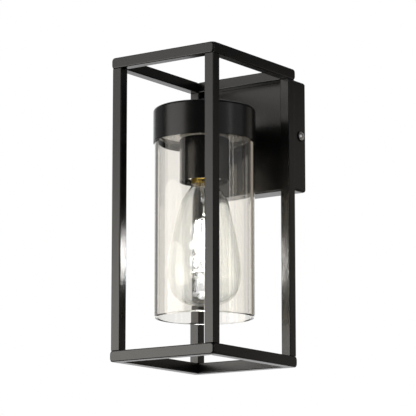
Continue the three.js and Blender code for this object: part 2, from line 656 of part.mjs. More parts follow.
function makeBulb() {
  const bulb = new THREE.Group();
  add(bulb, 'bulb_envelope', bulbEnvelope(), CLEAR_GLASS);
  add(bulb, 'bulb_screw_cap', bulbCap(), BRASS);
  add(bulb, 'bulb_insulator', ring(4.7, 10.7, BULB_CAP_TOP - 0.8, -31.8, 32), VITRITE);
  add(bulb, 'bulb_tip_contact', lathe([
    [0, -33.5], [4.4, -33.5], [4.4, -30.8], [3, -29.8], [0, -29.5],
  ], 24), BRASS);
  add(bulb, 'bulb_stem', bulbStem(), CLEAR_GLASS);
  add(bulb, 'bulb_filaments', filamentCage(), FILAMENT);
  return bulb;
}

// ---- Wires --------------------------------------------------------------------------------

const WIRE = 1.1;                // radius over the insulation
const PAIR = 1.6;                // half the spacing of the two wires in a nipple

/** Live or neutral: terminal clamp, arm nipple, cap, lamp nipple, wiring pocket. */
function lampWire(side, clampZ, end) {
  const y = -BRACKET_THICK - 0.3 - TERMINAL.deep / 2;
  const x = side * PAIR;
  return wireAlong([
    [TERMINAL.x + 9.6, y, clampZ], [TERMINAL.x + 13, y, clampZ], [x - 1, y + 1.2, ARM_Z],
    [x, y - 4, ARM_Z], [x, CANOPY_FRONT, ARM_Z], [x, CAP_BACK, ARM_Z], [x, CAP_BACK - 14, ARM_Z],
    [x, LAMP_Y + 16, ARM_Z + 2.5], [x, LAMP_Y + 4, ARM_Z + 5], [x, LAMP_Y, ARM_Z], [x, LAMP_Y, 0],
    [x, LAMP_Y, -16.6], [end[0], LAMP_Y, end[1]],
  ], WIRE, 34);
}

/** The earth wire: from the bracket's earth screw to the arm nut on the canopy. */
function earthWire() {
  return wireAlong([
    [EARTH_SCREW_X, -3.2, -4.4], [EARTH_SCREW_X + 6, -4, -8], [EARTH_SCREW_X + 4, -9, -14],
    [EARTH_SCREW_X - 4, -16, -12], [EARTH_SCREW_X - 8, -18.6, -6],
  ], WIRE, 16);
}

function makeWires() {
  const wires = new THREE.Group();
  add(wires, 'wire_live', lampWire(-1, CLAMP_Z, [-1.5, -20.2]), WIRE_LIVE);
  add(wires, 'wire_neutral', lampWire(1, -CLAMP_Z, [4.6, -20.4]), WIRE_NEUTRAL);
  add(wires, 'wire_earth', earthWire(), WIRE_EARTH);
  return wires;
}

// ---- Lantern ------------------------------------------------------------------------------

const lantern = new THREE.Group();
const lamp = new THREE.Group();
lamp.position.y = LAMP_Y;
lamp.add(makeShade(), makeHolder(), makeBulb());
lantern.add(makeCanopy(), makeCage(), makeArm(), lamp, makeWires());

export default lantern;
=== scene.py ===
import logging
import math
from dataclasses import dataclass, field
from enum import Enum
from typing import ClassVar, Sequence

import bmesh
import bpy
from mathutils import Matrix, Vector


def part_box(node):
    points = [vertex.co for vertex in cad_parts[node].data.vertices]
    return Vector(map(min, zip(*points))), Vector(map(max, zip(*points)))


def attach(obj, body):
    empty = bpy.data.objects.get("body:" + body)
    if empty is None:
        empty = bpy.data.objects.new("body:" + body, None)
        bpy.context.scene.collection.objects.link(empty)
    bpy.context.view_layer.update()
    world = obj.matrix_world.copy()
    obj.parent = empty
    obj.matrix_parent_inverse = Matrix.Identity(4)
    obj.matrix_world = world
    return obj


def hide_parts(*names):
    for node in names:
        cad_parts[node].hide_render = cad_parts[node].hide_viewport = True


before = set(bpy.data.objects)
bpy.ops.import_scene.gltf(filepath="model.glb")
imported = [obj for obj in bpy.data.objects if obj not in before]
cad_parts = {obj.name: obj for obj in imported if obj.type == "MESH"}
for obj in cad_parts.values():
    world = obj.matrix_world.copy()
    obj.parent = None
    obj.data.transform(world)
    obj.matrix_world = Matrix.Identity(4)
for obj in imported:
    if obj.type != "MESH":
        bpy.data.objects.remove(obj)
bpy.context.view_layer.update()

log = logging.getLogger("wall_lantern")

MM = 0.001                    # metres in a millimetre: every size below is in millimetres
SHARP = 38.0                  # degrees between two faces from which their edge stays sharp
BLOWN = 60.0                  # the same on blown and pressed glass, which has no sharp edges

LANTERN = "lantern"           # the bodies of the frame
BULB = "bulb"

Point = tuple[float, float]
Loop = list[Vector]
Node = bpy.types.Node
Tree = bpy.types.NodeTree
Piece = bpy.types.Object


# ---- Places, taken from the frame ----

class Side(Enum):
    """The left or right of the lantern, as the sign of X."""

    LEFT = -1
    RIGHT = 1

    @property
    def word(self) -> str:
        """The side's name as the frame's nodes spell it."""
        return self.name.lower()

    @property
    def axis(self) -> "Axis":
        """The direction that points out of the lantern on this side."""
        return Axis[self.name]


class Axis(Enum):
    """The direction in which a turned piece's own axis points."""

    UP = (0, 0, 1)
    LEFT = (-1, 0, 0)
    RIGHT = (1, 0, 0)

    def place(self, centre: Sequence[float]) -> Matrix:
        """Stand a piece that is turned about Z on this axis, with its origin at centre."""
        turn = Vector((0, 0, 1)).rotation_difference(Vector(self.value))
        return Matrix.Translation(Vector(centre)) @ turn.to_matrix().to_4x4()


@dataclass(frozen=True)
class Extent:
    """The box of one or more nodes at rest, in millimetres."""

    low: Vector
    high: Vector

    @classmethod
    def of(cls, *nodes: str) -> "Extent":
        """Take the box round nodes.

        Args:
            nodes: their names.

        Returns:
            The box.
        """
        boxes = [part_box(node) for node in nodes]
        low = Vector([min(lo[i] for lo, _ in boxes) for i in range(3)])
        high = Vector([max(hi[i] for _, hi in boxes) for i in range(3)])
        return cls(low / MM, high / MM)

    @property
    def centre(self) -> Vector:
        """The middle of the box."""
        return (self.low + self.high) / 2

    @property
    def size(self) -> Vector:
        """The box's lengths along X, Y and Z."""
        return self.high - self.low

    @property
    def turned(self) -> tuple[float, float, float]:
        """The radius, foot and top of a piece turned about Z."""
        return self.size.x / 2, self.low.z, self.high.z


# The upright axis that the cap, glass, holder and bulb share.
LAMP_AXIS = Axis.UP.place((0, Extent.of("glass_shade").centre.y, 0))


# ---- Outlines ----

def arc(centre: Point, radius: float, start: float, end: float, steps: int = 8) -> list[Point]:
    """Lay points along an arc.

    Args:
        centre: the arc's centre.
        radius: its radius.
        start: the first angle, in degrees.
        end: the last angle, in degrees.
        steps: the number of chords.

    Returns:
        steps + 1 points.
    """
    angles = [math.radians(start + (end - start) * i / steps) for i in range(steps + 1)]
    return [(centre[0] + radius * math.cos(a), centre[1] + radius * math.sin(a)) for a in angles]


def braced(points: Sequence[Point], closed: bool, reach: float = 0.2) -> list[Point]:
    """Give an outline a point more near each end of every long straight stretch.

    Smooth shading then stays true to the flats, which a reflection or a glass wall shows.

    Args:
        points: the outline.
        closed: it also runs from its last point to its first.
        reach: how far from the stretch's ends the new points stand.

    Returns:
        The points.
    """
    ends = list(points[1:]) + ([points[0]] if closed else [])
    result = []
    for start, end in zip(points, ends):
        result.append(start)
        a, b = Vector(start), Vector(end)
        if (b - a).length > 6 * reach:
            step = (b - a).normalized() * reach
            result += [tuple(a + step), tuple(b - step)]
    return result if closed else result + [points[-1]]


def rounded_rectangle(width: float, height: float, radius: float, steps: int = 6) -> list[Point]:
    """Lay points round a rectangle with round corners, anticlockwise.

    Args:
        width: its width, centred on 0.
        height: its height, centred on 0.
        radius: the corners' radius.
        steps: the number of chords in each corner.

    Returns:
        The points.
    """
    x, y = width / 2 - radius, height / 2 - radius
    corners = ((x, y, 0), (-x, y, 90), (-x, -y, 180), (x, -y, 270))
    points = [p for cx, cy, turn in corners for p in arc((cx, cy), radius, turn, turn + 90, steps)]
    return braced(points, True)


def spline(points: Sequence[Sequence[float]], steps: int = 6) -> list[Vector]:
    """Lay a smooth curve through points.

    Args:
        points: the points, of two or three numbers each.
        steps: the number of chords in each span.

    Returns:
        The points of the curve.
    """
    knots = [Vector(p) for p in points]
    curve = []
    for i in range(len(knots) - 1):
        a, b, c, d = (knots[max(i - 1, 0)], knots[i], knots[i + 1], knots[min(i + 2, len(knots) - 1)])
        for step in range(steps):
            t = step / steps
            curve.append(b + (c - a) * t / 2 + (2 * a - 5 * b + 4 * c - d) * t * t / 2
                         + (3 * b - a - 3 * c + d) * t ** 3 / 2)
    return curve + [knots[-1]]


# ---- Mesh forms ----

class Form:
    """A mesh under construction, in millimetres of the row frame."""

    MERGE = 1e-4

    def __init__(self) -> None:
        """Start with nothing."""
        self.bm = bmesh.new()

    def loft(self, loops: Sequence[Sequence[Vector]], wrap: bool = False) -> "Form":
        """Skin a row of closed loops.

        Args:
            loops: loops with the same number of points each.
            wrap: join the last loop to the first; otherwise both ends are capped.

        Returns:
            This form.
        """
        rows = [[self.bm.verts.new(p) for p in loop] for loop in loops]
        pairs = list(zip(rows, rows[1:]))
        if wrap:
            pairs.append((rows[-1], rows[0]))
        else:
            self.bm.faces.new(list(reversed(rows[0])))
            self.bm.faces.new(rows[-1])
        for below, above in pairs:
            for i, _ in enumerate(below):
                j = (i + 1) % len(below)
                self.bm.faces.new((below[i], below[j], above[j], above[i]))
        return self

    def revolve(
        self, profile: Sequence[Point], segments: int, place: Matrix = LAMP_AXIS
    ) -> "Form":
        """Turn a profile about an axis.

        Args:
            profile: (radius, height) points, a closed outline unless both ends are on the axis.
            segments: the number of facets round.
            place: where the axis stands.

        Returns:
            This form.
        """
        closed = max(profile[0][0], profile[-1][0]) > self.MERGE
        points = braced(profile, closed)
        turns = [2 * math.pi * i / segments for i in range(segments)]
        loops = [
            [place @ Vector((r * math.cos(a), r * math.sin(a), h)) for r, h in points] for a in turns
        ]
        rows = [[self.bm.verts.new(p) for p in loop] for loop in loops]
        count = len(points) if closed else len(points) - 1
        for here, there in zip(rows, rows[1:] + rows[:1]):
            for i in range(count):
                j = (i + 1) % len(points)
                self.bm.faces.new((here[i], there[i], there[j], here[j]))
        return self

    def sweep(self, path: Sequence[Vector], radius: float, sides: int) -> "Form":
        """Run a round section along a path, with rounded-off ends.

        Args:
            path: the centre line.
            radius: the section's radius.
            sides: the number of facets round.

        Returns:
            This form.
        """
        points = [Vector(p) for p in path]
        ways = [(b - a).normalized() for a, b in zip(points, points[1:])]
        tangents = [ways[0]] + [(a + b).normalized() for a, b in zip(ways, ways[1:])] + [ways[-1]]
        across = tangents[0].orthogonal().normalized()
        blunt = ((0.55, 0.0), (0.88, 0.15), (1.0, 0.45))       # (width, slide) of a rounded start
        ends = {0: blunt, len(points) - 1: [(width, -slide) for width, slide in reversed(blunt)]}
        loops = []
        for i, (point, tangent) in enumerate(zip(points, tangents)):
            across = (across - tangent * across.dot(tangent)).normalized()
            beside = tangent.cross(across)
            ring = [(math.cos(a), math.sin(a)) for a in (2 * math.pi * k / sides for k in range(sides))]
            for width, slide in ends.get(i, [(1.0, 0.0)]):
                middle = point + tangent * slide * radius
                loops.append([middle + (across * c + beside * s) * radius * width for c, s in ring])
        return self.loft(loops)

    def piece(self, name: str, sharp: float = SHARP) -> Piece:
        """Make the object, with smooth shading that breaks at sharp edges.

        Args:
            name: the piece's name.
            sharp: the angle between faces, in degrees, past which an edge stays sharp.

        Returns:
            The new object, at the origin.
        """
        bmesh.ops.remove_doubles(self.bm, verts=self.bm.verts, dist=self.MERGE)
        bmesh.ops.recalc_face_normals(self.bm, faces=self.bm.faces)
        self.bm.transform(Matrix.Scale(MM, 4))
        mesh = bpy.data.meshes.new(name)
        self.bm.to_mesh(mesh)
        self.bm.free()
        mesh.shade_smooth()
        mesh.set_sharp_from_angle(angle=math.radians(sharp))
        return put(name, mesh)


def put(name: str, data: bpy.types.ID) -> Piece:
    """Put a new object in the scene.

    Args:
        name: its name.
        data: its mesh, light or camera.

    Returns:
        The object, at the origin.
    """
    obj = bpy.data.objects.new(name, data)
    bpy.context.scene.collection.objects.link(obj)
    return obj


def carve(piece: Piece, *cutters: Form) -> None:
    """Cut forms out of a piece for good.

    Args:
        piece: the piece, which keeps its object.
        cutters: closed forms that are used up.
    """
    tools = [form.piece(f"cutter_{i}") for i, form in enumerate(cutters)]
    for tool in tools:
        cut = piece.modifiers.new(tool.name, "BOOLEAN")
        cut.operation, cut.solver, cut.object = "DIFFERENCE", "EXACT", tool
    evaluated = piece.evaluated_get(bpy.context.evaluated_depsgraph_get())
    mesh = bpy.data.meshes.new_from_object(evaluated)
    piece.modifiers.clear()
    blank, piece.data = piece.data, mesh
    bpy.data.meshes.remove(blank)
    mesh.name = piece.name
    mesh.shade_smooth()
    mesh.set_sharp_from_angle(angle=math.radians(SHARP))
    for tool in tools:
        waste = tool.data
        bpy.data.objects.remove(tool)
        bpy.data.meshes.remove(waste)


# ---- Finishes ----

def linear(colour: str) -> tuple[float, float, float, float]:
    """Make an sRGB hex colour linear.

    Args:
        colour: a colour such as "#1c1b1a".

    Returns:
        Its linear RGBA.
    """
    parts = [int(colour[i:i + 2], 16) / 255 for i in (1, 3, 5)]
    light = [p / 12.92 if p <= 0.04045 else ((p + 0.055) / 1.055) ** 2.4 for p in parts]
    return (*light, 1.0)


def add_node(
    tree: Tree, kind: str, inputs: dict[str | int, object] | None = None, **settings: object
) -> Node:
    """Add one node with its settings and links.

    Args:
        tree: the node tree.
        kind: the node's type, without "ShaderNode" in front.
        inputs: for each input's name or number, a socket to link, a node whose first output in use
            is linked, a hex colour or a value.
        settings: the node's properties.

    Returns:
        The node.
    """
    made = tree.nodes.new("ShaderNode" + kind)
    for key, value in settings.items():
        setattr(made, key, value)
    for key, value in (inputs or {}).items():
        if isinstance(value, Node):
            value = next(output for output in value.outputs if output.enabled)
        if isinstance(value, bpy.types.NodeSocket):
            tree.links.new(value, made.inputs[key])
        else:
            made.inputs[key].default_value = linear(value) if isinstance(value, str) else value
    return made


@dataclass(frozen=True)
class Finish:
    """A surface: what it is made of, how it was made, and how that looks."""

    made: ClassVar[dict["Finish", bpy.types.Material]] = {}
    TROUGH: ClassVar[float] = 0.3   # nearly all of a cloudy pattern's values lie between these two
    CREST: ClassVar[float] = 0.7
    FIRST: ClassVar[int] = 6        # the numbers of the Mix node's two colour inputs
    SECOND: ClassVar[int] = 7

    name: str
    slot: str | None = None         # the name of a slot meant for the new pieces that wear it

    def material(self) -> bpy.types.Material:
        """Give the finish's material, which is made once."""
        if self not in self.made:
            material = bpy.data.materials.new(self.name)
            material.use_nodes = True
            tree = material.node_tree
            tree.nodes.clear()
            add_node(tree, "OutputMaterial", {"Surface": self.surface(tree)})
            self.made[self] = material
        return self.made[self]

    def surface(self, tree: Tree) -> Node:
        """Lay the surface's nodes.

        Args:
            tree: the material's node tree.

        Returns:
            The shader node to show.
        """
        raise NotImplementedError

    @classmethod
    def cloud(
        cls, tree: Tree, size: float, detail: float = 2.0,
        stretch: Sequence[float] = (1, 1, 1), span: Point | None = None
    ) -> Node:
        """Lay a cloudy pattern in the piece's own space.

        Args:
            tree: the node tree.
            size: the size of its features in millimetres.
            detail: how many finer layers it has.
            stretch: how much denser it is along each axis.
            span: the values at its troughs and crests; without it the pattern stays as it comes.

        Returns:
            The node that gives its value.
        """
        where = add_node(tree, "TexCoord").outputs["Object"]
        place = add_node(tree, "Mapping", {"Vector": where, "Scale": stretch})
        noise = add_node(tree, "TexNoise", {"Vector": place, "Scale": 1 / (size * MM), "Detail": detail})
        if span is None:
            return noise
        return add_node(tree, "MapRange", {
            "Value": noise, "From Min": cls.TROUGH, "From Max": cls.CREST,
            "To Min": span[0], "To Max": span[1],
        })

    @staticmethod
    def looked_at(tree: Tree) -> Node:
        """Tell looks from the rest of the light.

        Args:
            tree: the node tree.

        Returns:
            A node that gives 1 to a look, direct or through glass, and 0 to light and reflections.
        """
        path = add_node(tree, "LightPath")
        return add_node(tree, "Math", {
            0: path.outputs["Is Camera Ray"], 1: path.outputs["Is Transmission Ray"],
        }, operation="MAXIMUM")


@dataclass(frozen=True)
class PowderCoat(Finish):
    """Satin polyester powder coat baked on steel: a deep black skin with a faint orange peel.

    The eye sees soft-edged reflections, and a slightly thinner, smoother skin along the edges.
    """

    colour: str = "#060606"
    thin: str = "#100f0e"
    satin: float = 0.26
    uneven: float = 0.012         # how far the satin drifts either way
    smoother: float = 0.05        # how much smoother the edges are
    patch: float = 14.0           # size of the patches in which it drifts
    edge: float = 0.5             # how far from an edge the skin is thin
    edge_turn: float = 0.86       # the cosine of the turn at which it is thinnest
    peel: float = 1.4             # the real peel is nearer 0.8 mm, too fine to show
    peel_depth: float = 0.0025

    def surface(self, tree: Tree) -> Node:
        """Lay the coat's nodes.

        Args:
            tree: the material's node tree.

        Returns:
            The shader node to show.
        """
        bevel = add_node(tree, "Bevel", {"Radius": self.edge * MM}, samples=4)
        match = add_node(tree, "VectorMath", {
            0: bevel, 1: add_node(tree, "NewGeometry").outputs["Normal"],
        }, operation="DOT_PRODUCT")
        turned = add_node(tree, "MapRange", {
            "Value": match, "From Min": 1.0, "From Max": self.edge_turn, "To Min": 0.0, "To Max": 1.0,
        })
        worn = add_node(tree, "Math", {
            0: turned, 1: self.cloud(tree, self.patch, 3, span=(0.2, 1.0)),
        }, operation="MULTIPLY")
        satin = self.cloud(tree, self.patch, 3, span=(self.satin - self.uneven, self.satin + self.uneven))
        return add_node(tree, "BsdfPrincipled", {
            "Base Color": add_node(tree, "Mix", {
                0: worn, self.FIRST: self.colour, self.SECOND: self.thin,
            }, data_type="RGBA"),
            "Roughness": add_node(tree, "Math", {
                0: worn, 1: -self.smoother, 2: satin,
            }, operation="MULTIPLY_ADD"),
            "Normal": add_node(tree, "Bump", {
                "Height": self.cloud(tree, self.peel, 1), "Distance": self.peel_depth * MM,
            }),
        })


@dataclass(frozen=True)
class Glass(Finish):
    """Clear soda-lime glass, drawn or blown: glossy, with faint waves left by the working of it.

    Only looks are bent by it. The light of lamps goes straight through, and lights what is behind.
    """

    tint: str = "#fffefa"
    haze: float = 0.012
    wave: float = 30.0
    wave_depth: float = 0.02
    ior: float = 1.5

    def surface(self, tree: Tree) -> Node:
        """Lay the glass's nodes.

        Args:
            tree: the material's node tree.

        Returns:
            The shader node to show.
        """
        glass = add_node(tree, "BsdfPrincipled", {
            "Base Color": self.tint, "IOR": self.ior, "Transmission Weight": 1.0,
            "Roughness": self.cloud(tree, 6, span=(self.haze / 2, self.haze)),
            "Normal": add_node(tree, "Bump", {
                "Height": self.cloud(tree, self.wave, 0, (1, 1, 0.35)), "Distance": self.wave_depth * MM,
            }),
        })
        clear = add_node(tree, "BsdfTransparent", {"Color": self.tint})
        return add_node(tree, "MixShader", {0: self.looked_at(tree), 1: clear, 2: glass})


@dataclass(frozen=True)
class Phosphor(Finish):
    """The silicone and phosphor skin of a lit filament rod: white, far brighter than the room."""

    skin: str = "#f2c65a"
    glow: str = "#fdfcff"
    strength: float = 12.0

    def surface(self, tree: Tree) -> Node:
        """Lay the glowing skin's nodes.

        Args:
            tree: the material's node tree.

        Returns:
            The shader node to show.
        """
        return add_node(tree, "BsdfPrincipled", {
            "Base Color": self.skin, "Roughness": self.cloud(tree, 1.2, span=(0.4, 0.6)),
            "Emission Color": self.glow, "Emission Strength": self.strength,
        })


@dataclass(frozen=True)
class StudioFloor(Finish):
    """Pale matt paint that looks evenly lit to the eye, and throws little light on the lantern."""

    colour: str = "#e9e7e3"
    lift: float = 0.95            # the even light that only a direct look sees

    def surface(self, tree: Tree) -> Node:
        """Lay the paint's nodes.

        Args:
            tree: the material's node tree.

        Returns:
            The shader node to show.
        """
        lift = add_node(tree, "Math", {0: self.looked_at(tree), 1: self.lift}, operation="MULTIPLY")
        return add_node(tree, "BsdfPrincipled", {
            "Base Color": self.colour, "Roughness": self.cloud(tree, 40, span=(0.75, 0.9)),
            "Emission Color": self.colour, "Emission Strength": lift,
        })


@dataclass(frozen=True)
class Mottled(Finish):
    """Stuff of two close shades that drift into each other, with a fine relief from its making."""

    colour: str = "#d0cfc6"
    shade: str = "#b9b8ae"
    roughness: float = 0.5
    drift: Point = (-0.06, 0.06)  # how far the roughness strays
    patch: float = 7.0            # size of the patches of either shade
    relief: float = 0.6           # size of the relief's marks
    relief_depth: float = 0.01
    stretch: tuple[float, float, float] = (1, 1, 1)
    metallic: float = 0.0
    ior: float = 1.5
    coat: float = 0.0             # a glaze or gloss skin over it

    def surface(self, tree: Tree) -> Node:
        """Lay the nodes of the two shades and the relief.

        Args:
            tree: the material's node tree.

        Returns:
            The shader node to show.
        """
        rough = tuple(self.roughness + step for step in self.drift)
        return add_node(tree, "BsdfPrincipled", {
            "Base Color": add_node(tree, "Mix", {
                0: self.cloud(tree, self.patch, 3, span=(0, 1)),
                self.FIRST: self.colour, self.SECOND: self.shade,
            }, data_type="RGBA"),
            "Metallic": self.metallic, "IOR": self.ior, "Coat Weight": self.coat,
            "Roughness": self.cloud(tree, self.patch, 3, span=rough),
            "Normal": add_node(tree, "Bump", {
                "Height": self.cloud(tree, self.relief, 2, self.stretch), "Distance": self.relief_depth * MM,
            }),
        })


@dataclass(frozen=True)
class Moulding(Mottled):
    """Moulded, cast or dipped stuff: soft-edged light, and the mould's even texture."""


@dataclass(frozen=True)
class Metal(Mottled):
    """Bare, plated or polished metal: tinted reflections, drawn out by fine tool marks."""

    drift: Point = (-0.05, 0.08)
    patch: float = 5.0
    relief: float = 0.8           # width of a tool mark
    relief_depth: float = 0.006
    stretch: tuple[float, float, float] = (1, 1, 3)
    metallic: float = 1.0


# Baked satin skin: soft streaks of light on deep black.
BLACK_COAT = PowderCoat("satin black powder coat", "black_coat")
# Drawn tube: sharp reflections, a grey cast only where the wall is seen edge on.
SHADE_GLASS = Glass("drawn clear glass", "shade_glass", tint="#f5f3ef")
# Blown thin: faintly milky and wavy, so that what is behind it shimmers.
BULB_GLASS = Glass("blown clear bulb glass", "bulb_glass", tint="#fdfefd", haze=0.09, wave=18.0)
# Pinched hot round the wires: lumpy, with a brighter edge than plain glass.
STEM_GLASS = Glass("pressed lead glass stem", "bulb_glass", tint="#f6faf6", wave=3.0, wave_depth=0.05,
                   ior=1.54)
# Lit: burns out to white.
FILAMENT = Phosphor("glowing filament rod", "filament")
# Drawn wire: small bright glints.
LEAD_WIRE = Metal("nickel lead wire", "filament", "#dad8d4", "#bdbab4", 0.2, relief=0.4)
# Stamped and rolled sheet: warm yellow, soft highlights.
BRASS = Metal("stamped brass", "brass", "#e3c565", "#cfae50", 0.26)
# Barrel plated: cool grey, a little cloudy.
ZINC = Metal("bright zinc plate", "zinc_plated", "#c9cccf", "#a5a9ad", 0.3)
# Buffed and plated: pale and even, a clear highlight on the dome.
SCREW_NICKEL = Metal("polished nickel plate", "zinc_plated", "#eeedeb", "#dad9d6", 0.3)
# Pressed and glazed: creamy body under a glossy skin.
PORCELAIN = Moulding("glazed porcelain", "porcelain", "#efe9dc", "#e2dac9", 0.2, coat=0.5)
# Foamed and die cut: dull black with open pores.
RUBBER = Moulding("black sponge rubber", "rubber", "#141414", "#1c1c1b", 0.8, relief=0.9,
                  relief_depth=0.06)
# Moulded clear: milky, soft sheen.
SILICONE = Moulding("milky silicone", None, "#d9d8d2", "#cdccc5", 0.45, ior=1.41)
# Injection moulded: off-white with a waxy sheen.
NYLON = Moulding("natural nylon", None, "#dddccf", "#d1d0c2", 0.42, ior=1.53)
# Poured hot round the contact: glassy, near black.
VITRITE = Moulding("black vitrite glass", "vitrite", "#0b0b12", "#12121a", 0.12)
# Extruded sheaths: smooth plastic in the three wiring colours.
SHEATH_LIVE = Moulding("brown wire sheath", None, "#5a3216", "#4d2a12", 0.35)
SHEATH_NEUTRAL = Moulding("blue wire sheath", None, "#2a62a8", "#235494", 0.35)
SHEATH_EARTH = Moulding("green wire sheath", None, "#5f9a2f", "#518527", 0.35)


# ---- Sub-assemblies ----

@dataclass
class Assembly:
    """A group of pieces that is built and dressed together."""

    made: list[Piece] = field(default_factory=list, init=False)

    def dress(
        self, piece: Piece, finish: Finish, node: str | None, body: str = LANTERN
    ) -> Piece:
        """Give a new piece its finish and its place in the frame.

        Args:
            piece: the new piece.
            finish: what it is made of.
            node: the CAD node that it replaces, if any.
            body: the body it rides on.

        Returns:
            The piece.
        """
        piece.data.materials.clear()
        piece.data.materials.append(finish.material())
        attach(piece, body)
        if node:
            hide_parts(node)
        self.made.append(piece)
        log.info("made %s in %s", piece.name, finish.name)
        return piece

    @staticmethod
    def keep(finish: Finish, bevel: float, *nodes: str) -> None:
        """Dress CAD nodes that keep their own meshes.

        Args:
            finish: what they are made of.
            bevel: the width of the chamfer on their edges, in millimetres, or 0.
            nodes: their names.
        """
        for node in nodes:
            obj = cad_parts[node]
            for slot in obj.material_slots:
                slot.material = finish.material()
            if bevel:
                edge = obj.modifiers.new("edge", "BEVEL")
                edge.width, edge.segments, edge.limit_method = bevel * MM, 2, "ANGLE"
                edge.angle_limit, edge.harden_normals = math.radians(40), False
            log.info("kept %s in %s", node, finish.name)


@dataclass
class Cage(Assembly):
    """The open box of square steel tube: two mitred rings and four posts."""

    SIDES: ClassVar[tuple[str, ...]] = ("front", "right", "back", "left")

    wall: float = 1.0             # tube wall
    edge: float = 1.0             # round of the tube's long edges
    plan: float = 1.8             # round of a ring's corners, seen from above
    corner: float = 3.2           # round of the tube's edges at the ground corners
    seam: float = 0.1             # half-gap at a mitre
    ease: float = 0.25            # chamfer of a post's sawn ends
    turns: tuple[float, ...] = (-20, -10, 0, 9, 18, 27, 36, 45)   # stations round a rail's end

    def build(self) -> None:
        """Make the rings and posts."""
        for level in ("top", "bottom"):
            for side in self.SIDES:
                self._rail(level, side)
        for end in ("front", "back"):
            for side in Side:
                self._post(end, side)

    def _section(self, tube: float, turn: float, bore: bool) -> list[Point]:
        """Outline the tube's skin or bore at one station.

        Args:
            tube: the tube's width.
            turn: the angle round the corner; below 0 along the straight tube.
            bore: the bore rather than the skin.

        Returns:
            (inward, height) points round the tube's middle; the skin's edges grow rounder towards
            the mitre, where they are ground.
        """
        if bore:
            return rounded_rectangle(tube - 2 * self.wall, tube - 2 * self.wall, self.edge / 2)
        ground = min(1.0, max(0.0, (turn + 20) / 40))
        return rounded_rectangle(tube, tube, self.edge + (self.corner - self.edge) * ground)

    def _along(self, inward: float, long: float, turn: float) -> Point:
        """Find where a line of the rail runs at one end, in plan.

        Args:
            inward: the line's distance from the ring's outer face.
            long: half the ring's length on this side.
            turn: the angle round the corner, up to 45 at the mitre; below 0 it counts 0.1 mm steps
                along the straight tube.

        Returns:
            (along, inward) of the point.
        """
        straight = min(turn, 0) / 10
        if inward >= self.plan:
            return long - inward - self.seam + straight, inward
        reach, angle = self.plan - inward, math.radians(max(turn, 0))
        along = long - self.plan + reach * math.sin(angle)
        across = self.plan - reach * math.cos(angle)
        return along - (self.seam if turn >= 45 else 0) + straight, across

    def _rail(self, level: str, side: str) -> None:
        """Make one mitred rail with a ground round corner at each end.

        Args:
            level: the ring, top or bottom.
            side: the ring's side.
        """
        ring = Extent.of(*(f"{level}_rail_{each}" for each in self.SIDES))
        half, tube, turn = ring.size / 2, ring.size.z, self.SIDES.index(side)
        long, out = (half.x, half.y) if turn % 2 == 0 else (half.y, half.x)
        spin = Matrix.Rotation(turn * math.pi / 2, 3, "Z")
        stations = [(-1, angle) for angle in reversed(self.turns)] + [(1, angle) for angle in self.turns]

        def loop(bore: bool, sign: int, angle: float) -> Loop:
            """Give the skin or bore at one station of the left (-1) or right (1) end."""
            points = []
            for u, v in self._section(tube, angle, bore):
                along, across = self._along(u + tube / 2, long, angle)
                points.append(ring.centre + spin @ Vector((sign * along, across - out, v)))
            return points

        outside = [loop(False, *station) for station in stations]
        inside = [loop(True, *station) for station in stations]
        rail = Form().loft(outside + inside[::-1], wrap=True)
        self.dress(rail.piece(f"{level}_ring_rail_{side}"), BLACK_COAT, f"{level}_rail_{side}")

    def _post(self, end: str, side: Side) -> None:
        """Make one post between the rings.

        Args:
            end: front or back.
            side: left or right.
        """
        node = f"post_{end}_{side.word}"
        box, ease = Extent.of(node), self.ease
        heights = [(box.low.z, ease), (box.low.z + ease, 0), (box.high.z - ease, 0), (box.high.z, ease)]

        def loop(size: float, edge: float, height: float) -> Loop:
            """Give a square of this size and edge round at one height."""
            return [Vector((box.centre.x + u, box.centre.y + v, height))
                    for u, v in rounded_rectangle(size, size, edge)]

        outside = [loop(box.size.x - 2 * inset, self.edge, h) for h, inset in heights]
        inside = [loop(box.size.x - 2 * self.wall, self.edge / 2, h) for h, _ in heights]
        post = Form().loft(outside + inside[::-1], wrap=True)
        self.dress(post.piece(f"corner_{node}"), BLACK_COAT, node)


